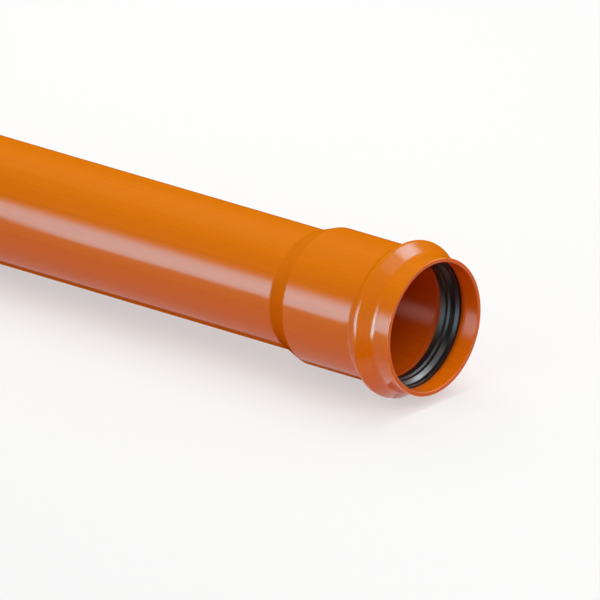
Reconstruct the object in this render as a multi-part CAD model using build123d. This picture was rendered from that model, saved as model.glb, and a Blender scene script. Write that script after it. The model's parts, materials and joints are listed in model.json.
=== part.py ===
from build123d import *
from math import asin, atan, cos, degrees, hypot, radians, sin, tan
import os

# Socketed PVC-U pipe with a rubber sealing ring, lying on a level floor.
# Millimetres. The axis runs along X with the socket at +X, and Z = 0 is the floor.

# Pipe
pipe_diameter = 110.0
pipe_wall = 4.2
laying_length = 1000.0
chamfer_length = 7.0
chamfer_angle = 15.0

# Socket, widened from the pipe's end. Depths are measured back from the mouth.
socket_depth = 122.4
socket_room = 3.5
socket_wall = 3.8
flare_angle = 19.6
flare_round = 3.0
rim_chamfer = 0.5

# Bead that houses the sealing ring
bead_depth = 32.3
bead_rise = 8.9
bead_front_angle = 33.0
bead_rear_angle = 38.0
crown_round = 4.0
groove_round = 2.5
front_foot_round = 9.0
rear_foot_round = 8.0

# Sealing ring. Shares are of the ring's length between its nose and its heel.
ring_clearance = 0.25
nose_height = 2.0
nose_chamfer = 0.3
heel_height = 0.8
shoulder_rise = 0.3
shoulder_end_share = 0.21
step_clearance = 0.3
step_start_share = 0.37
step_end_share = 0.50
lip_share = 0.578
lip_interference = 1.0
lip_land = 5.9
lip_thickness = 1.6
lip_root_height = 5.0
lip_undercut = 1.2

# Radii, depths and angles that follow from the sizes above
pipe_radius = pipe_diameter / 2
pipe_bore = pipe_radius - pipe_wall
socket_bore = pipe_radius + socket_room
socket_radius = socket_bore + socket_wall
crown_radius = socket_radius + bead_rise
groove_radius = socket_bore + bead_rise
total_length = laying_length + socket_depth
flare_slope = tan(radians(flare_angle))
flare_half_slope = tan(radians(flare_angle / 2))
flare_end = socket_depth + (socket_radius - pipe_radius) / flare_slope
spigot_edge = total_length - chamfer_length
tip_radius = pipe_radius - chamfer_length * tan(radians(chamfer_angle))
front_angle = radians(bead_front_angle)
rear_angle = radians(bead_rear_angle)


def bead_peak(top_radius, top_round):
    """Depth and radius where the bead's two flanks would meet, with a crown of this radius and rounding."""
    crown_gap = 1 / cos(rear_angle) - 1 / cos(front_angle)
    shift = top_round * crown_gap / (tan(front_angle) + tan(rear_angle))
    peak_radius = top_radius - top_round + top_round / cos(front_angle) + shift * tan(front_angle)
    return bead_depth + shift, peak_radius


def on_front_flank(peak, radius):
    """Point of the flank that faces the mouth, at this radius."""
    return peak[0] - (peak[1] - radius) / tan(front_angle), radius


def on_rear_flank(peak, radius):
    """Point of the flank that faces the pipe, at this radius."""
    return peak[0] + (peak[1] - radius) / tan(rear_angle), radius


def turned(corners):
    """Solid of revolution about X from corners of (depth, radius, rounding)."""
    points = [(-depth, radius) for depth, radius, rounding in corners]
    roundings = [rounding for depth, radius, rounding in corners]
    section = make_face(FilletPolyline(points, radius=roundings, close=True))
    return revolve(section, Axis.X)


def make_pipe():
    """Extruded pipe, with its end belled out into the socket and the bead."""
    peak = bead_peak(crown_radius, crown_round)
    groove_peak = bead_peak(groove_radius, groove_round)
    outside = [
        (0, socket_radius - rim_chamfer, 0),
        (rim_chamfer, socket_radius, 0),
        (*on_front_flank(peak, socket_radius), front_foot_round),
        (*peak, crown_round),
        (*on_rear_flank(peak, socket_radius), rear_foot_round),
        (socket_depth, socket_radius, flare_round),
        (flare_end, pipe_radius, flare_round),
        (spigot_edge, pipe_radius, 0),
        (total_length, tip_radius, 0),
    ]
    inside = [
        (total_length, pipe_bore, 0),
        (flare_end - pipe_wall * flare_half_slope, pipe_bore, flare_round),
        (socket_depth - socket_wall * flare_half_slope, socket_bore, flare_round),
        (*on_rear_flank(groove_peak, socket_bore), rear_foot_round + socket_wall),
        (*groove_peak, groove_round),
        (*on_front_flank(groove_peak, socket_bore), front_foot_round + socket_wall),
        (rim_chamfer, socket_bore, 0),
        (0, socket_bore + rim_chamfer, 0),
    ]
    return turned(outside + inside)


def make_sealing_ring():
    """Rubber ring that fills the groove, sloping from a shoulder to a step and to a lip for the spigot."""
    peak = bead_peak(groove_radius - ring_clearance, groove_round - ring_clearance)
    back_radius = groove_radius - groove_round * (1 - cos(rear_angle)) - ring_clearance
    nose, nose_radius = on_front_flank(peak, socket_bore + nose_height)
    heel, heel_radius = on_rear_flank(peak, socket_bore + heel_height)
    length = heel - nose
    shoulder_radius = socket_bore - shoulder_rise
    step_radius = pipe_radius + step_clearance
    lip_radius = pipe_radius - lip_interference
    lip_tip = nose + lip_share * length
    lip_end = lip_tip + lip_land
    return turned(
        [
            (nose, nose_radius, 0),
            (*on_front_flank(peak, back_radius), 0),
            (*on_rear_flank(peak, back_radius), 0),
            (heel, heel_radius, 0),
            (lip_tip - lip_undercut, lip_radius + lip_root_height, 0),
            (lip_end, lip_radius + lip_thickness, 0),
            (lip_end, lip_radius, 0),
            (lip_tip, lip_radius, 0),
            (nose + step_end_share * length, step_radius, 0),
            (nose + step_start_share * length, step_radius, 0),
            (nose + shoulder_end_share * length, shoulder_radius, 0),
            (nose + nose_chamfer, shoulder_radius, 0),
            (nose, shoulder_radius + nose_chamfer, 0),
        ]
    )


# The pipe lies on the bead's crown and on the spigot's edge, so its axis rises towards the socket.
span = spigot_edge - bead_depth
rise = crown_radius - crown_round - pipe_radius
rest_angle = atan(rise / span) + asin(crown_round / hypot(span, rise))
mouth_height = spigot_edge * sin(rest_angle) + pipe_radius * cos(rest_angle)
mouth_end = (socket_radius - rim_chamfer) * sin(rest_angle)
spigot_end = -total_length * cos(rest_angle) - tip_radius * sin(rest_angle)
place = Pos(-(mouth_end + spigot_end) / 2, 0, mouth_height) * Rot(Y=-degrees(rest_angle))

os.makedirs("parts", exist_ok=True)
export_step(place * make_pipe(), "parts/pipe.step")
export_step(place * make_sealing_ring(), "parts/sealing_ring.step")
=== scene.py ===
import json
import math

import bpy
from bpy.props import FloatProperty, FloatVectorProperty, IntProperty, PointerProperty
from mathutils import Matrix, Vector


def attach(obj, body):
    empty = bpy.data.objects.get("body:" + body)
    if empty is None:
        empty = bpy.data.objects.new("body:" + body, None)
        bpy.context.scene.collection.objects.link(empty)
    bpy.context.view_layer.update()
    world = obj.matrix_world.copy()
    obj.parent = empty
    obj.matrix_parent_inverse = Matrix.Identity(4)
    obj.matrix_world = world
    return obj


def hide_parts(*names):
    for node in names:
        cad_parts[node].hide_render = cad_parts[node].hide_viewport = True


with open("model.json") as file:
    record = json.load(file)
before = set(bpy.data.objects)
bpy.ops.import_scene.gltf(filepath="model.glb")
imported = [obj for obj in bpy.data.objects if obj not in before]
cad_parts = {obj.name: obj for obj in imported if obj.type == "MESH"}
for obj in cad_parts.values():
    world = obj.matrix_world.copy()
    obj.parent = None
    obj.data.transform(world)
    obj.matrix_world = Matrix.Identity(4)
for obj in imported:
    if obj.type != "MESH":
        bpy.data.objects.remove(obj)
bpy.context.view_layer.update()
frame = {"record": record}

bl_info = {
    "name": "Socketed Pipe",
    "version": (1, 0, 0),
    "blender": (4, 5, 0),
    "location": "View3D > Sidebar > Pipe",
    "description": "Builds an orange PVC pipe with a push-fit socket, its rubber ring and a plain studio",
    "category": "Object",
}

MM = 0.001
MOUNTS = {mount["name"]: mount for mount in frame["record"]["mounts"]}
SPIGOT_RADIUS = MOUNTS["spigot"]["dims"]["r_mm"]
BORE_RADIUS = MOUNTS["bore"]["dims"]["r_mm"]
LIP_RADIUS = MOUNTS["socket_seal"]["dims"]["r_mm"]
LIP_LAND = MOUNTS["socket_seal"]["dims"]["length_mm"]

# Mesh fineness: how far an arc turns between points, the row of points that keeps the shading of a
# straight stretch apart from the arc beside it, and the longest stretch without a row of points
ARC_STEP = math.radians(7)
SHADING_ROW = 0.25 * MM
LONGEST_STRETCH = 30 * MM

# Stage: heights of the cards and of the bead's patch over the floor, and the fades of a sheet that is
# even up to its edges, which can't be zero
CARD_HEIGHT = 3 * MM
PATCH_HEIGHT = 4 * MM
SHARP_EDGES = (0.01, 0.01, 0.01, 0.01)


def linear(code):
    """Linear colour of an sRGB hex value, with alpha."""
    channels = [int(code[i : i + 2], 16) / 255 for i in (1, 3, 5)]
    return [c / 12.92 if c <= 0.04045 else ((c + 0.055) / 1.055) ** 2.4 for c in channels] + [1.0]


def length(name, description, millimetres):
    """A size that is shown as a length."""
    return FloatProperty(
        name=name, description=description, default=millimetres * MM, min=0.0, unit="LENGTH", precision=5
    )


def angle(name, description, degrees):
    """A size that is shown as an angle."""
    return FloatProperty(name=name, description=description, default=math.radians(degrees), subtype="ANGLE")


def share(name, description, value):
    """A size that is shown as a share of another."""
    return FloatProperty(
        name=name, description=description, default=value, min=0.0, max=1.0, subtype="FACTOR"
    )


def tint(name, description, code):
    """A colour that is written as an sRGB hex value."""
    return FloatVectorProperty(
        name=name, description=description, default=linear(code), size=4, subtype="COLOR", min=0.0, max=1.0
    )


def power(name, description, watts):
    """Power of a lamp."""
    return FloatProperty(name=name, description=description, default=watts, min=0.0, unit="POWER")


def glow(name, description, strength):
    """Strength of a glow, where one is white."""
    return FloatProperty(name=name, description=description, default=strength, min=0.0)


class PipeSizes(bpy.types.PropertyGroup):
    """Sizes of the pipe and its socket. Depths are measured back from the mouth."""

    radius: length("Pipe Radius", "Outside radius of the straight pipe", SPIGOT_RADIUS)
    bore: length("Bore Radius", "Inside radius of the straight pipe", BORE_RADIUS)
    laying_length: length("Laying Length", "Length that the pipe adds to a run, without its socket", 1000)
    chamfer_length: length("Chamfer Length", "Length of the spigot's chamfer", 7)
    chamfer_angle: angle("Chamfer Angle", "Slope of the spigot's chamfer", 15)
    socket_depth: length("Socket Depth", "Depth of the straight socket barrel", 122.4)
    socket_bore: length("Socket Bore", "Inside radius of the socket barrel", 58.5)
    socket_wall: length("Socket Wall", "Wall of the socket", 3.8)
    flare_angle: angle("Flare Angle", "Slope of the cone between pipe and socket", 19.6)
    flare_round: length("Flare Rounding", "Rounding at both ends of the cone", 3)
    bead_depth: length("Bead Depth", "Depth of the bead's crown", 32.3)
    bead_rise: length("Bead Rise", "Height of the bead over the socket barrel", 8.9)
    bead_front: angle("Bead Front Slope", "Slope of the bead's flank that faces the mouth", 33)
    bead_rear: angle("Bead Rear Slope", "Slope of the bead's flank that faces the pipe", 38)
    crown_round: length("Crown Rounding", "Outside rounding of the bead's crown", 4)
    groove_round: length("Groove Rounding", "Inside rounding of the bead's crown", 2.5)
    front_foot: length("Front Foot Rounding", "Outside rounding where the front flank leaves the barrel", 9)
    rear_foot: length("Rear Foot Rounding", "Outside rounding where the rear flank leaves the barrel", 8)
    rim_round: length("Rim Rounding", "Broken edge of the mouth's rim", 0.7)
    cut_round: length("Cut Rounding", "Broken edge of the sawn end", 0.3)
    segments: IntProperty(name="Segments", description="Faces once round the pipe", default=256, min=24)


class SealSizes(bpy.types.PropertyGroup):
    """Sizes of the lip seal. Shares are of its length between nose and heel."""

    clearance: length("Clearance", "Room between the seal's back and the groove", 0.25)
    nose_height: length("Nose Height", "Height of the nose over the socket's bore", 2)
    nose_round: length("Nose Rounding", "Rounding of the nose", 0.3)
    heel_height: length("Heel Height", "Height of the heel over the socket's bore", 0.8)
    shoulder_rise: length("Shoulder Rise", "How far the front shoulder stands into the socket's bore", 0.3)
    shoulder_end: share("Shoulder End", "Where the shoulder ends and the first slope starts", 0.21)
    step_clearance: length("Step Clearance", "Room between the step and a spigot", 0.3)
    step_start: share("Step Start", "Where the step after the first slope starts", 0.37)
    step_end: share("Step End", "Where the step ends and the second slope starts", 0.50)
    lip_place: share("Lip Place", "Where the lip's land starts", 0.578)
    lip_radius: length("Lip Radius", "Radius that the lip has before a spigot stretches it", LIP_RADIUS)
    lip_land: length("Lip Land", "Length of the lip's inner face", LIP_LAND)
    lip_thickness: length("Lip Thickness", "Thickness of the lip at its end", 1.6)
    lip_root: length("Lip Root", "Height of the lip's root over its inner face", 5)
    lip_undercut: length("Lip Undercut", "How far the space behind the lip reaches forward", 1.2)
    edge_round: length("Edge Rounding", "Rounding of the moulded edges", 0.2)


class Finishes(bpy.types.PropertyGroup):
    """Colours and roughness of the materials."""

    pvc: tint("PVC", "Orange of the pipe", "#E87F05")
    pvc_deep: tint("PVC Deep", "Orange of the streaks in the pipe's wall", "#E47A04")
    # Redder copies of the pipe's orange for the wall inside the mouth: painted shade and bounce light
    pvc_mouth_painted_shade: tint("PVC Mouth", "Orange of the wall inside the mouth", "#E87305")
    pvc_mouth_deep_painted_shade: tint("PVC Mouth Deep", "Orange of the streaks inside the mouth", "#E46E04")
    # Darker, redder copies of the pipe's orange for the inside wall and the groove: painted shade
    pvc_bore_painted_shade: tint("PVC Bore", "Orange of the inside wall", "#D25B06")
    pvc_bore_deep_painted_shade: tint("PVC Bore Deep", "Orange of the streaks in the inside wall", "#CE5605")
    pvc_cut: tint("PVC Cut", "Orange of the cut and scraped edges", "#D6671C")
    rubber: tint("Rubber", "Black of the lip seal", "#161718")
    rubber_bloom: tint("Rubber Bloom", "Grey of the seal's dry bloom", "#242627")
    cool_sheet: tint("Cool Sheet", "Cool white of the sheets that show in the pipe's gloss", "#80DCFF")
    white_sheet: tint("White Sheet", "White of the sheets seen in seal, bore and bead", "#FFFFFF")
    pale_sheet: tint("Pale Sheet", "Pale cool white of the strip that shows inside the mouth", "#B0E8FF")
    warm_sheet: tint("Warm Sheet", "Warm white of the strip that shows in the seal's lands", "#FFCCA8")
    floor: tint("Floor", "Pale floor", "#F6F6F5")
    floor_bounce: tint("Floor Bounce", "Light that the floor throws back on the pipe", "#D6938C")
    drawn_rough: share("Drawn Roughness", "Roughness of the drawn wall where it is glossiest", 0.15)
    drawn_span: share("Drawn Roughness Span", "How much rougher a drawn wall is where it is dullest", 0.04)
    groove_rough: share("Groove Roughness", "Roughness of the stretched wall in the groove", 0.5)
    cut_rough: share("Cut Roughness", "Roughness of the cut and scraped edges", 0.5)
    rubber_rough: share("Rubber Roughness", "Roughness of the lip seal", 0.28)


class StageSettings(bpy.types.PropertyGroup):
    """Camera and light."""

    azimuth: angle("Azimuth", "Turn of the camera round the pipe, from straight on to its side", 41.2)
    elevation: angle("Elevation", "Height of the camera over the horizon", 21)
    lens: FloatProperty(
        name="Lens",
        description="Focal length, long for a nearly parallel view",
        default=1500.0,
        unit="CAMERA",
    )
    frame_width: length("Frame Width", "Width of the picture at the mouth", 524.9)
    mouth_right: length("Mouth Right", "How far the mouth lies right of the picture's middle", 117.6)
    mouth_below: length("Mouth Below", "How far the mouth lies below the picture's middle", 24.0)
    key: power("Key", "Power of the softbox behind the pipe", 14)
    side: power("Side", "Power of the softbox before the mouth", 10)
    inside: power("Inside", "Power of the lamp inside the mouth", 0.015)
    fill: glow("Fill", "Even light from all round", 0.64)
    front: glow("Front", "Glow of the sheet that draws the streak", 15)
    back: glow("Back", "Glow of the sheet that is seen in the bead's top", 15)
    top: glow("Top", "Glow of the sheet that is seen beside the bead's top", 2.25)
    bead: glow("Bead", "Glow of the sheet that is seen in the bead's edges", 40)
    under: glow("Under", "Glow of the patch that is seen in the bead's underside", 1.4)
    seal: glow("Seal", "Glow of the sheet that is seen in the seal", 30)
    seal_tail: glow("Seal Tail", "Glow of the sheet that is seen where the seal gets darker", 2.4)
    socket: glow("Socket", "Glow of the strip that is seen inside the mouth", 8.4)
    ring: glow("Ring", "Glow of the strip that is seen in the seal's lands", 1.5)
    bore: glow("Bore", "Glow of the strip inside the pipe", 2.2)
    # The two card glows paint reflections: a dim orange one from the card behind the pipe, a pink one from
    # the card at the bead's foot
    back_card: glow("Back Card", "Tone of the card behind the pipe", 0.5)
    foot_card: glow("Foot Card", "Tone of the card at the bead's foot", 0.7)


def add_node(tree, kind, sockets, **settings):
    """Adds a node, sets its settings, and gives each named socket a value or a link."""
    added = tree.nodes.new(kind)
    for setting, value in settings.items():
        setattr(added, setting, value)
    for socket, value in sockets.items():
        if isinstance(value, bpy.types.NodeSocket):
            tree.links.new(value, added.inputs[socket])
        else:
            added.inputs[socket].default_value = value
    return added


def new_material(name):
    """An empty material and its node tree."""
    material = bpy.data.materials.new(name)
    material.use_nodes = True
    material.node_tree.nodes.clear()
    return material, material.node_tree


def pipe_placement(pipe):
    """Matrix from the pipe's own axes, with the mouth's centre at zero and +X out of the mouth."""
    bore = MOUNTS["bore"]
    out = Vector(bore["axis"]).normalized()
    sawn_end = Vector(bore["pos_m"]) - out * bore["dims"]["length_mm"] * MM / 2
    across = Vector((0, 1, 0))
    placement = Matrix((out, across, out.cross(across))).transposed().to_4x4()
    placement.translation = sawn_end + out * (pipe.laying_length + pipe.socket_depth)
    return placement


def rounded_corner(before, corner, after, rounding):
    """Points along the arc that rounds a corner, or the corner itself."""
    if rounding == 0:
        return [corner]
    back = (before - corner).normalized()
    ahead = (after - corner).normalized()
    half = back.angle(ahead) / 2
    start = corner + back * rounding / math.tan(half)
    centre = corner + (back + ahead).normalized() * rounding / math.sin(half)
    turn = math.copysign(math.pi - 2 * half, ahead.cross(back))
    steps = max(2, math.ceil(abs(turn) / ARC_STEP))
    turns = [Matrix.Rotation(turn * i / steps, 2) for i in range(steps + 1)]
    return [centre + spin @ (start - centre) for spin in turns]


def stretch_points(start, end):
    """Points inside a straight stretch: a row near each end, and more where it is long."""
    span = (end - start).length
    if span < 4 * SHADING_ROW:
        return []
    pieces = math.ceil(span / LONGEST_STRETCH)
    inner = [span * i / pieces for i in range(1, pieces)]
    return [start.lerp(end, place / span) for place in (SHADING_ROW, *inner, span - SHADING_ROW)]


def section_outline(corners):
    """Points (depth, radius) once round a section, and the finish of the stretch after each point."""
    places = [Vector((depth, radius)) for depth, radius, _, _ in corners]
    arcs = []
    for i, (_, _, rounding, _) in enumerate(corners):
        arcs.append(rounded_corner(places[i - 1], places[i], places[(i + 1) % len(places)], rounding))
    points = []
    finishes = []
    for i, (_, _, _, finish) in enumerate(corners):
        stretch = arcs[i] + stretch_points(arcs[i][-1], arcs[(i + 1) % len(arcs)][0])
        points.extend(stretch)
        finishes.extend([finish] * len(stretch))
    return points, finishes


def add_turned_piece(context, name, corners, materials):
    """Piece turned about the pipe's axis from corners of (depth, radius, rounding, finish)."""
    pipe = context.scene.pipe_sizes
    points, finishes = section_outline(corners)
    turns = [2 * math.pi * j / pipe.segments for j in range(pipe.segments)]
    vertices = [(-p.x, p.y * math.cos(t), p.y * math.sin(t)) for p in points for t in turns]
    faces = []
    for i in range(len(points)):
        row = i * pipe.segments
        next_row = (i + 1) % len(points) * pipe.segments
        for j in range(pipe.segments):
            k = (j + 1) % pipe.segments
            faces.append((row + j, next_row + j, next_row + k, row + k))
    mesh = bpy.data.meshes.new(name)
    mesh.from_pydata(vertices, [], faces)
    mesh.polygons.foreach_set("material_index", [f for f in finishes for _ in turns])
    mesh.transform(pipe_placement(pipe))
    mesh.shade_smooth()
    for material in materials:
        mesh.materials.append(material)
    piece = bpy.data.objects.new(name, mesh)
    context.scene.collection.objects.link(piece)
    return piece


def bead_peak(pipe, top_radius, top_round):
    """Depth and radius where the bead's two flanks would meet, with a crown of this radius and rounding."""
    front = math.tan(pipe.bead_front)
    rear = math.tan(pipe.bead_rear)
    crown_gap = 1 / math.cos(pipe.bead_rear) - 1 / math.cos(pipe.bead_front)
    shift = top_round * crown_gap / (front + rear)
    peak_radius = top_radius - top_round + top_round / math.cos(pipe.bead_front) + shift * front
    return pipe.bead_depth + shift, peak_radius


def on_front_flank(pipe, peak, radius):
    """Point of the flank that faces the mouth, at this radius."""
    return peak[0] - (peak[1] - radius) / math.tan(pipe.bead_front), radius


def on_rear_flank(pipe, peak, radius):
    """Point of the flank that faces the pipe, at this radius."""
    return peak[0] + (peak[1] - radius) / math.tan(pipe.bead_rear), radius


def along_pipe(tree, pipe, size):
    """Texture coordinates on the pipe's own axes, in units of this (long, round, round) size."""
    placement = pipe_placement(pipe)
    place = {
        "Vector": add_node(tree, "ShaderNodeTexCoord", {}).outputs["Object"],
        "Location": placement.translation,
        "Rotation": placement.to_euler(),
        "Scale": size,
    }
    return add_node(tree, "ShaderNodeMapping", place, vector_type="TEXTURE").outputs["Vector"]


def extruded_pvc(scene, name, body_tint, streak_tint, roughness):
    """PVC-U drawn through a ring die: an even deep orange, a satin gloss and faint lines along the pipe.

    The die's lines are a few tenths of a millimetre wide, too fine to show, so they are drawn coarser.
    """
    material, tree = new_material(name)
    line_size = along_pipe(tree, scene.pipe_sizes, (900 * MM, 2.4 * MM, 2.4 * MM))
    lines = add_node(tree, "ShaderNodeTexNoise", {"Vector": line_size, "Scale": 1.0, "Detail": 2.0})
    cloud_size = along_pipe(tree, scene.pipe_sizes, (240 * MM, 40 * MM, 40 * MM))
    clouds = add_node(tree, "ShaderNodeTexNoise", {"Vector": cloud_size, "Scale": 1.0, "Detail": 3.0})
    streak_range = {"Value": lines.outputs["Fac"], "From Min": 0.35, "From Max": 0.65}
    streaks = add_node(tree, "ShaderNodeMapRange", streak_range).outputs["Result"]
    colour = add_node(tree, "ShaderNodeMix", {0: streaks, 6: body_tint, 7: streak_tint}, data_type="RGBA")
    gloss_range = {
        "Value": clouds.outputs["Fac"],
        "From Min": 0.3,
        "From Max": 0.7,
        "To Min": roughness,
        "To Max": roughness + scene.finishes.drawn_span,
    }
    gloss = add_node(tree, "ShaderNodeMapRange", gloss_range)
    relief = {"Height": lines.outputs["Fac"], "Strength": 0.15, "Distance": 0.02 * MM}
    bump = add_node(tree, "ShaderNodeBump", relief)
    shader = {
        "Base Color": colour.outputs[2],
        "Roughness": gloss.outputs["Result"],
        "IOR": 1.53,
        "Specular IOR Level": 0.2,
        "Normal": bump.outputs["Normal"],
    }
    surface = add_node(tree, "ShaderNodeBsdfPrincipled", shader)
    add_node(tree, "ShaderNodeOutputMaterial", {"Surface": surface.outputs["BSDF"]})
    return material


def cut_pvc(scene):
    """PVC-U where a saw or a scraper cut it: paler and matt, with fine rings left by the tool.

    The tool's rings lie a few tenths of a millimetre apart, too fine to show, so they are drawn coarser.
    """
    material, tree = new_material("cut_pvc")
    ring_pitch = along_pipe(tree, scene.pipe_sizes, (0.8 * MM, 0.8 * MM, 0.8 * MM))
    # At this scale the wave makes about one ring in each unit of its coordinates
    waves = {"Vector": ring_pitch, "Scale": 0.3, "Distortion": 0.6}
    rings = add_node(tree, "ShaderNodeTexWave", waves, wave_type="RINGS", rings_direction="X")
    relief = {"Height": rings.outputs["Fac"], "Strength": 0.3, "Distance": 0.05 * MM}
    bump = add_node(tree, "ShaderNodeBump", relief)
    shader = {
        "Base Color": scene.finishes.pvc_cut,
        "Roughness": scene.finishes.cut_rough,
        "IOR": 1.53,
        "Specular IOR Level": 0.25,
        "Normal": bump.outputs["Normal"],
    }
    surface = add_node(tree, "ShaderNodeBsdfPrincipled", shader)
    add_node(tree, "ShaderNodeOutputMaterial", {"Surface": surface.outputs["BSDF"]})
    return material


def moulded_rubber(scene):
    """Black rubber pressed in a polished mould: dull black with a soft sheen and a light grey bloom.

    The mould's grain is about a tenth of a millimetre wide, too fine to show, so it is drawn coarser.
    """
    material, tree = new_material("moulded_rubber")
    bloom_size = along_pipe(tree, scene.pipe_sizes, (9 * MM, 9 * MM, 9 * MM))
    bloom = add_node(tree, "ShaderNodeTexNoise", {"Vector": bloom_size, "Scale": 1.0, "Detail": 4.0})
    tints = {0: bloom.outputs["Fac"], 6: scene.finishes.rubber, 7: scene.finishes.rubber_bloom}
    colour = add_node(tree, "ShaderNodeMix", tints, data_type="RGBA")
    grain_size = along_pipe(tree, scene.pipe_sizes, (0.9 * MM, 0.9 * MM, 0.9 * MM))
    grain = add_node(tree, "ShaderNodeTexNoise", {"Vector": grain_size, "Scale": 1.0, "Detail": 1.0})
    relief = {"Height": grain.outputs["Fac"], "Strength": 0.2, "Distance": 0.05 * MM}
    bump = add_node(tree, "ShaderNodeBump", relief)
    shader = {
        "Base Color": colour.outputs[2],
        "Roughness": scene.finishes.rubber_rough,
        "IOR": 1.52,
        "Normal": bump.outputs["Normal"],
    }
    surface = add_node(tree, "ShaderNodeBsdfPrincipled", shader)
    add_node(tree, "ShaderNodeOutputMaterial", {"Surface": surface.outputs["BSDF"]})
    return material


class PIPE_OT_body(bpy.types.Operator):
    """Turn the pipe with its socket, bead and chamfered spigot"""

    bl_idname = "pipe.body"
    bl_label = "Pipe Body"

    def execute(self, context):
        scene = context.scene
        pipe = scene.pipe_sizes
        outer, cut, inner, matt, mouth = range(5)
        socket_radius = pipe.socket_bore + pipe.socket_wall
        peak = bead_peak(pipe, socket_radius + pipe.bead_rise, pipe.crown_round)
        groove = bead_peak(pipe, pipe.socket_bore + pipe.bead_rise, pipe.groove_round)
        total = pipe.laying_length + pipe.socket_depth
        flare_end = pipe.socket_depth + (socket_radius - pipe.radius) / math.tan(pipe.flare_angle)
        half_slope = math.tan(pipe.flare_angle / 2)
        wall = pipe.radius - pipe.bore
        tip_radius = pipe.radius - pipe.chamfer_length * math.tan(pipe.chamfer_angle)
        corners = [
            (0, socket_radius, pipe.rim_round, outer),
            (*on_front_flank(pipe, peak, socket_radius), pipe.front_foot, outer),
            (*peak, pipe.crown_round, outer),
            (*on_rear_flank(pipe, peak, socket_radius), pipe.rear_foot, outer),
            (pipe.socket_depth, socket_radius, pipe.flare_round, outer),
            (flare_end, pipe.radius, pipe.flare_round, outer),
            (total - pipe.chamfer_length, pipe.radius, pipe.cut_round, cut),
            (total, tip_radius, pipe.cut_round, cut),
            (total, pipe.bore, pipe.cut_round, inner),
            (flare_end - wall * half_slope, pipe.bore, pipe.flare_round, inner),
            (pipe.socket_depth - pipe.socket_wall * half_slope, pipe.socket_bore, pipe.flare_round, inner),
            (*on_rear_flank(pipe, groove, pipe.socket_bore), pipe.rear_foot + pipe.socket_wall, matt),
            (*groove, pipe.groove_round, matt),
            (*on_front_flank(pipe, groove, pipe.socket_bore), pipe.front_foot + pipe.socket_wall, mouth),
            (0, pipe.socket_bore, pipe.rim_round, cut),
        ]
        look = scene.finishes
        satin, dull = look.drawn_rough, look.groove_rough
        finishes = [
            extruded_pvc(scene, "extruded_pvc", look.pvc, look.pvc_deep, satin),
            cut_pvc(scene),
            # Darker, redder copies of the orange for the bore and the groove: painted shade inside the pipe
            extruded_pvc(scene, "extruded_pvc_bore_painted_shade", look.pvc_bore_painted_shade, look.pvc_bore_deep_painted_shade, satin),
            extruded_pvc(scene, "stretched_pvc_groove_painted_shade", look.pvc_bore_painted_shade, look.pvc_bore_deep_painted_shade, dull),
            # Redder copy of the orange inside the mouth: painted shade and bounce light
            extruded_pvc(scene, "extruded_pvc_mouth_painted_shade", look.pvc_mouth_painted_shade, look.pvc_mouth_deep_painted_shade, satin),
        ]
        body = add_turned_piece(context, "pipe_body", corners, finishes)
        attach(body, "root")
        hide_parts("pipe")
        return {"FINISHED"}


class PIPE_OT_seal(bpy.types.Operator):
    """Turn the rubber lip seal that sits in the bead"""

    bl_idname = "pipe.seal"
    bl_label = "Lip Seal"

    def execute(self, context):
        pipe = context.scene.pipe_sizes
        seal = context.scene.seal_sizes
        rubber = 0
        back_round = pipe.groove_round - seal.clearance
        peak = bead_peak(pipe, pipe.socket_bore + pipe.bead_rise - seal.clearance, back_round)
        nose, nose_radius = on_front_flank(pipe, peak, pipe.socket_bore + seal.nose_height)
        heel, heel_radius = on_rear_flank(pipe, peak, pipe.socket_bore + seal.heel_height)
        reach = heel - nose
        shoulder = pipe.socket_bore - seal.shoulder_rise
        step = pipe.radius + seal.step_clearance
        lip_start = nose + seal.lip_place * reach
        lip_end = lip_start + seal.lip_land
        rounding = seal.edge_round
        corners = [
            (nose, nose_radius, rounding, rubber),
            (*peak, back_round, rubber),
            (heel, heel_radius, rounding, rubber),
            (lip_start - seal.lip_undercut, seal.lip_radius + seal.lip_root, rounding, rubber),
            (lip_end, seal.lip_radius + seal.lip_thickness, rounding, rubber),
            (lip_end, seal.lip_radius, rounding, rubber),
            (lip_start, seal.lip_radius, rounding, rubber),
            (nose + seal.step_end * reach, step, rounding, rubber),
            (nose + seal.step_start * reach, step, rounding, rubber),
            (nose + seal.shoulder_end * reach, shoulder, rounding, rubber),
            (nose, shoulder, seal.nose_round, rubber),
        ]
        ring = add_turned_piece(context, "lip_seal", corners, [moulded_rubber(context.scene)])
        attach(ring, "root")
        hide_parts("sealing_ring")
        return {"FINISHED"}


def backdrop_rays(tree):
    """One for rays of the camera, of gloss and of glass, which see the backdrop, and zero for the rest."""
    path = add_node(tree, "ShaderNodeLightPath", {})
    seen = path.outputs["Is Camera Ray"]
    for ray in ("Is Glossy Ray", "Is Transmission Ray"):
        both = add_node(tree, "ShaderNodeMath", {0: seen, 1: path.outputs[ray]}, operation="MAXIMUM")
        seen = both.outputs["Value"]
    return seen


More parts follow.
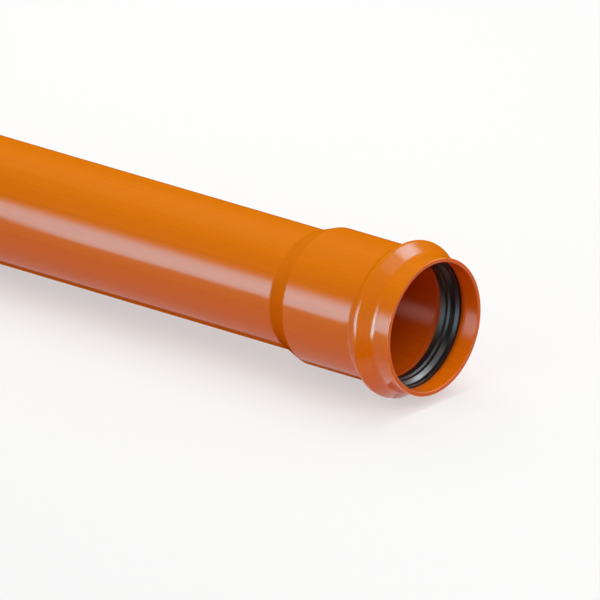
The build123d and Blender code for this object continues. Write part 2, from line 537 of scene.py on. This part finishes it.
def studio_paper(scene):
    """Matt white paper: pale to the eye, with a soft shadow on it, and throwing little light back."""
    material, tree = new_material("studio_paper")
    bounced = add_node(tree, "ShaderNodeLightPath", {}).outputs["Is Diffuse Ray"]
    tints = {0: bounced, 6: scene.finishes.floor, 7: scene.finishes.floor_bounce}
    colour = add_node(tree, "ShaderNodeMix", tints, data_type="RGBA")
    paper = add_node(tree, "ShaderNodeBsdfDiffuse", {"Color": colour.outputs[2]})
    white = add_node(tree, "ShaderNodeEmission", {"Strength": 1.0})
    camera_share, gloss_share = 0.5, 0.75
    seen = add_node(tree, "ShaderNodeLightPath", {}).outputs["Is Camera Ray"]
    shares = {"Value": seen, "To Min": gloss_share, "To Max": camera_share}
    white_share = add_node(tree, "ShaderNodeMapRange", shares).outputs["Result"]
    factors = {0: backdrop_rays(tree), 1: white_share}
    amount = add_node(tree, "ShaderNodeMath", factors, operation="MULTIPLY").outputs["Value"]
    mixed = {"Fac": amount, 1: paper.outputs["BSDF"], 2: white.outputs["Emission"]}
    surface = add_node(tree, "ShaderNodeMixShader", mixed)
    add_node(tree, "ShaderNodeOutputMaterial", {"Surface": surface.outputs["Shader"]})
    return material


def studio_world(scene):
    """Even fill light, in a studio that looks white to the horizon and dim above it."""
    world = bpy.data.worlds.new("studio")
    world.use_nodes = True
    tree = world.node_tree
    tree.nodes.clear()
    white = (1, 1, 1, 1)
    wall_top, overhead = 0.12, 0.02
    direction = add_node(tree, "ShaderNodeTexCoord", {}).outputs["Generated"]
    height = add_node(tree, "ShaderNodeSeparateXYZ", {"Vector": direction}).outputs["Z"]
    dim_range = {"Value": height, "From Min": 0.0, "From Max": wall_top, "To Min": 1.0, "To Max": overhead}
    wall = add_node(tree, "ShaderNodeMapRange", dim_range).outputs["Result"]
    fill_light = {"Color": white, "Strength": scene.stage_settings.fill}
    fill = add_node(tree, "ShaderNodeBackground", fill_light).outputs["Background"]
    wall_light = {"Color": white, "Strength": wall}
    backdrop = add_node(tree, "ShaderNodeBackground", wall_light).outputs["Background"]
    surface = add_node(tree, "ShaderNodeMixShader", {"Fac": backdrop_rays(tree), 1: fill, 2: backdrop})
    add_node(tree, "ShaderNodeOutputWorld", {"Surface": surface.outputs["Shader"]})
    scene.world = world


def studio_cloth(name, colour, strength, fades):
    """Diffuser cloth: an even glow that fades to its near, far, left and right edges, or black unlit."""
    material, tree = new_material(f"studio_cloth_{name}")
    sheet = add_node(tree, "ShaderNodeTexCoord", {}).outputs["UV"]
    place = add_node(tree, "ShaderNodeSeparateXYZ", {"Vector": sheet})
    near, far, left, right = fades
    level = strength
    for axis, edge, full in (("Y", 0, near), ("Y", 1, 1 - far), ("X", 0, left), ("X", 1, 1 - right)):
        ramp = {"Value": place.outputs[axis], "From Min": edge, "From Max": full}
        soft = add_node(tree, "ShaderNodeMapRange", ramp, interpolation_type="SMOOTHSTEP").outputs["Result"]
        level = add_node(tree, "ShaderNodeMath", {0: soft, 1: level}, operation="MULTIPLY").outputs["Value"]
    surface = add_node(tree, "ShaderNodeEmission", {"Color": colour, "Strength": level})
    add_node(tree, "ShaderNodeOutputMaterial", {"Surface": surface.outputs["Emission"]})
    return material


def lay_floor(scene):
    """Square floor that reaches past the picture's edges."""
    half = 150.0
    corners = [(-half, -half, 0), (half, -half, 0), (half, half, 0), (-half, half, 0)]
    mesh = bpy.data.meshes.new("floor")
    mesh.from_pydata(corners, [], [(0, 1, 2, 3)])
    mesh.materials.append(studio_paper(scene))
    floor = bpy.data.objects.new("floor", mesh)
    scene.collection.objects.link(floor)


def add_softbox(scene, name, place, facing, size, spread, watts):
    """Square lamp that shows neither in the picture nor in the gloss."""
    light = bpy.data.lights.new(name, "AREA")
    light.shape = "SQUARE"
    light.size = size
    light.spread = spread
    light.energy = watts
    softbox = bpy.data.objects.new(name, light)
    softbox.location = place
    softbox.rotation_euler = facing.to_track_quat("-Z", "Y").to_euler()
    softbox.visible_camera = False
    softbox.visible_glossy = False
    scene.collection.objects.link(softbox)


def hang_softboxes(scene, mouth):
    """Lamps behind the pipe, before the mouth and inside it, at places from the mouth's centre."""
    stage = scene.stage_settings
    wide, narrow = math.pi, 2.2
    behind = Vector((-0.9, 0.6, 1.6))
    before = Vector((1.4, -0.5, 1.6))
    inside = Vector((-0.002, -0.02, 0.035))
    down = Vector((0.15, 0.1, -0.97))
    for name, place, facing, size, spread, watts in (
        ("key_softbox", behind, -behind, 1.6, wide, stage.key),
        ("mouth_softbox", before, -before, 1.2, wide, stage.side),
        ("inside_softbox", inside, down, 0.04, narrow, stage.inside),
    ):
        add_softbox(scene, name, mouth + place, facing, size, spread, watts)


def add_reflector(scene, name, rows, colour, strength, fades):
    """Cloth through rows of (left, right) points, which only shows in the gloss."""
    mesh = bpy.data.meshes.new(name)
    faces = [(2 * i, 2 * i + 1, 2 * i + 3, 2 * i + 2) for i in range(len(rows) - 1)]
    mesh.from_pydata([point for row in rows for point in row], [], faces)
    layer = mesh.uv_layers.new(name="sheet")
    for loop in mesh.loops:
        row, side = divmod(loop.vertex_index, 2)
        layer.uv[loop.index].vector = (side, row / (len(rows) - 1))
    mesh.materials.append(studio_cloth(name, colour, strength, fades))
    sheet = bpy.data.objects.new(name, mesh)
    sheet.visible_camera = False
    sheet.visible_diffuse = False
    sheet.visible_shadow = False
    scene.collection.objects.link(sheet)


def level_rows(*rows):
    """Rows of (left, right) points from the left x, the right x, the y and the z of each row."""
    return [((left, y, z), (right, y, z)) for left, right, y, z in rows]


def front_sheet_rows():
    """Sheet that lies before the pipe and curves up away from it, seen along the streak's reflection."""
    start = Vector((0.25, -0.06, 0))
    ahead = Vector((-0.62, -0.785, 0)).normalized()
    right = Vector((-ahead.y, ahead.x, 0))
    near, far, steps = 0.35, 3.0, 16
    low, curve = 0.02, 0.2
    near_left, far_left = -0.08, -0.85
    near_right, far_right = 0.6, 3.2
    rows = []
    for i in range(steps + 1):
        out = i / steps
        reach = (far - near) * out
        centre = start + ahead * (near + reach) + Vector((0, 0, low + curve * reach**2))
        left_side = near_left + (far_left - near_left) * out
        right_side = near_right + (far_right - near_right) * out
        rows.append((centre + right * left_side, centre + right * right_side))
    return rows


def round_pipe(placement, depth, radius, turn):
    """Point at this depth and radius in millimetres, turned this many degrees about the pipe."""
    across = radius * math.cos(math.radians(turn)), radius * math.sin(math.radians(turn))
    return placement @ (Vector((-depth, *across)) * MM)


def collar_rows(placement, depth, radii, turns):
    """Part of a collar about the pipe at this depth, between two radii, with a row at each turn."""
    return [[round_pipe(placement, depth, radius, turn) for radius in radii] for turn in turns]


def bore_strip_rows(placement, start, end, low, high):
    """Strip inside the pipe, seen in the wall across from it, between these depths of that wall.

    Low and high are the strip's turns about the pipe. The mirrored strip lies deeper than the wall
    that shows it, by a reach that is longest at one turn and falls off to both sides.
    """
    radius, steps = 49, 8
    longest_reach, longest_turn, fall = 85, 155, 0.00152
    rows = []
    for i in range(steps + 1):
        turn = low + (high - low) * i / steps
        reach = longest_reach - fall * (turn - longest_turn) ** 2
        rows.append([round_pipe(placement, depth + reach, radius, turn) for depth in (start, end)])
    return rows


def glowing_sheets(scene, placement):
    """Sheets and strips that draw the streaks: each one's name, rows, colour, glow and fades."""
    stage = scene.stage_settings
    cool = scene.finishes.cool_sheet
    white = scene.finishes.white_sheet
    pale = scene.finishes.pale_sheet
    warm = scene.finishes.warm_sheet
    back = level_rows((0.4, 1.15, 2.0, 1.3), (0.62, 1.37, 0.62, 2.02))
    top = level_rows((0.6, 1.5, 0.95, 1.87), (0.9, 1.9, -0.4, 2.5))
    bead = level_rows(
        (0.46, 0.62, -0.28, 0.005),
        (0.3, 0.74, -0.7, 0.03),
        (0.15, 0.84, -1.05, 0.08),
        (0.1, 0.86, -1.1, 0.85),
    )
    under = level_rows((0.5, 0.57, -0.1, PATCH_HEIGHT), (0.5, 0.57, -0.021, PATCH_HEIGHT))
    mouth = level_rows(
        (0.72, 1.9, 2.7, 1.45),
        (0.88, 1.9, 1.8, 1.8),
        (1.3, 2.2, 0.75, 2.05),
        (1.65, 2.5, -0.3, 2.2),
    )
    tail = level_rows((1.55, 2.5, 0.3, 2.12), (2.2, 3.3, -2.0, 2.2))
    socket = bore_strip_rows(placement, -6, 17.5, 143, 236)
    ring = bore_strip_rows(placement, 19.5, 43, 85, 300)
    bore = bore_strip_rows(placement, 43, 130, 148, 211)
    return [
        ("front_reflector", front_sheet_rows(), cool, stage.front, (0.05, 0.5, 0.07, 0.1)),
        ("back_reflector", back, cool, stage.back, (0.5, 0.25, 0.15, 0.15)),
        ("top_reflector", top, cool, stage.top, (0.05, 0.15, 0.1, 0.1)),
        ("bead_reflector", bead, cool, stage.bead, (0.1, 0.25, 0.3, 0.15)),
        ("under_reflector", under, white, stage.under, SHARP_EDGES),
        ("mouth_reflector", mouth, white, stage.seal, (0.05, 0.7, 0.1, 0.1)),
        ("mouth_tail_reflector", tail, white, stage.seal_tail, (0.2, 0.5, 0.1, 0.1)),
        ("socket_reflector", socket, pale, stage.socket, (0.35, 0.35, 0.05, 0.05)),
        ("ring_reflector", ring, warm, stage.ring, (0.48, 0.48, 0.05, 0.05)),
        ("bore_reflector", bore, white, stage.bore, (0.4, 0.4, 0.05, 0.8)),
    ]


def painted_reflection_cards(scene, placement):
    """Cards that keep the white floor out of the gloss, painting black, dim orange and pink reflections in
    its place: each one's name, rows, colour, tone and fades.
    """
    stage = scene.stage_settings
    look = scene.finishes
    unlit = 0.0
    low = CARD_HEIGHT
    back = level_rows((-2, 0.5, -0.028, low), (-2, 0.5, 0.45, low), (-2, 0.5, 0.45, 0.3))
    right = level_rows((0.62, 3, -3, low), (0.62, 3, -0.3, low))
    mouth = level_rows(
        (0.535, 1.2, -0.3, low),
        (0.535, 1.2, -0.12, low),
        (0.575, 1.2, -0.115, low),
        (0.575, 1.2, 0.03, low),
    )
    flare = collar_rows(placement, 144.5, (55.4, 78), range(135, 266, 13))
    left = level_rows((-2.5, -0.35, -0.9, low), (-2.5, -0.35, -0.06, low))
    foot = collar_rows(placement, 18.5, (62.9, 71), range(228, 257, 7))
    return [
        # The back card paints a dim orange reflection, the foot card a pink one, and the black cards paint
        # dark reflections
        ("back_card", back, look.pvc, stage.back_card, SHARP_EDGES),
        ("right_card", right, look.white_sheet, unlit, SHARP_EDGES),
        ("mouth_card", mouth, look.white_sheet, unlit, SHARP_EDGES),
        ("flare_card", flare, look.white_sheet, unlit, SHARP_EDGES),
        ("left_card", left, look.white_sheet, unlit, SHARP_EDGES),
        ("foot_card", foot, look.floor_bounce, stage.foot_card, SHARP_EDGES),
    ]


def place_camera(scene, mouth):
    """Long lens far off, turned and raised about the pipe, with the mouth at its place in the picture."""
    stage = scene.stage_settings
    right = Vector((math.cos(stage.azimuth), math.sin(stage.azimuth), 0))
    level = Vector((math.sin(stage.azimuth), -math.cos(stage.azimuth), 0))
    back = level * math.cos(stage.elevation) + Vector((0, 0, math.sin(stage.elevation)))
    up = back.cross(right)
    target = mouth - right * stage.mouth_right + up * stage.mouth_below
    data = bpy.data.cameras.new("camera")
    data.lens = stage.lens
    data.clip_end = 200.0
    camera = bpy.data.objects.new("camera", data)
    camera.location = target + back * stage.frame_width * data.lens / data.sensor_width
    camera.rotation_euler = back.to_track_quat("Z", "Y").to_euler()
    scene.collection.objects.link(camera)
    scene.camera = camera


class PIPE_OT_stage(bpy.types.Operator):
    """Lay a pale floor, set soft studio light and place the camera"""

    bl_idname = "pipe.stage"
    bl_label = "Stage"

    def execute(self, context):
        scene = context.scene
        placement = pipe_placement(scene.pipe_sizes)
        mouth = placement.translation
        lay_floor(scene)
        studio_world(scene)
        hang_softboxes(scene, mouth)
        for sheet in glowing_sheets(scene, placement) + painted_reflection_cards(scene, placement):
            add_reflector(scene, *sheet)
        place_camera(scene, mouth)
        scene.view_settings.view_transform = "Standard"
        return {"FINISHED"}


class PIPE_PT_sidebar(bpy.types.Panel):
    """Lists the steps that build the pipe"""

    bl_idname = "PIPE_PT_sidebar"
    bl_label = "Socketed Pipe"
    bl_space_type = "VIEW_3D"
    bl_region_type = "UI"
    bl_category = "Pipe"

    def draw(self, context):
        for step in STEPS:
            self.layout.operator(step.bl_idname)


STEPS = (PIPE_OT_body, PIPE_OT_seal, PIPE_OT_stage)
GROUPS = {
    "pipe_sizes": PipeSizes,
    "seal_sizes": SealSizes,
    "finishes": Finishes,
    "stage_settings": StageSettings,
}


def register():
    """Registers the settings, the steps and the panel."""
    for name, group in GROUPS.items():
        bpy.utils.register_class(group)
        setattr(bpy.types.Scene, name, PointerProperty(type=group))
    for step in (*STEPS, PIPE_PT_sidebar):
        bpy.utils.register_class(step)


def unregister():
    """Removes what register added."""
    for step in reversed((*STEPS, PIPE_PT_sidebar)):
        bpy.utils.unregister_class(step)
    for name, group in reversed(GROUPS.items()):
        delattr(bpy.types.Scene, name)
        bpy.utils.unregister_class(group)


def main():
    """Builds the pipe, the seal and the stage."""
    register()
    bpy.ops.pipe.body()
    bpy.ops.pipe.seal()
    bpy.ops.pipe.stage()


if __name__ == "__main__":
    main()
